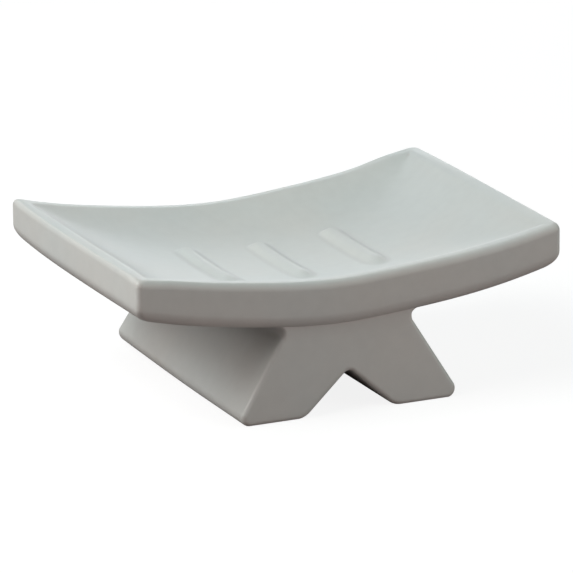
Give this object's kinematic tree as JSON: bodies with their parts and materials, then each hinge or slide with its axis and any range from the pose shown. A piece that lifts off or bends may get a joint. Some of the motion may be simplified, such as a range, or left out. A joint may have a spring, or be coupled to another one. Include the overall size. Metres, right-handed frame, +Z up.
{
  "type": "soap dish",
  "caption": "Glazed stoneware soap dish: a rectangular tray that sweeps up to both ends, with raised ribs on its sloping floor, on a solid foot with two legs.",
  "frame": {"origin": "On the table the dish stands on, under the middle of the tray", "axes": "+X to the right along the tray's length, +Y to the back, +Z up"},
  "size_m": [0.1414, 0.1014, 0.051],
  "materials": {
    "glaze": "satin pale grey ceramic glaze over stoneware, softly shining, with a slightly warm body showing where the glaze is thin"
  },
  "bodies": {
    "root": {"tray": "glaze", "foot": "glaze", "joint_left": "glaze", "joint_right": "glaze"}
  },
  "joints": []
}
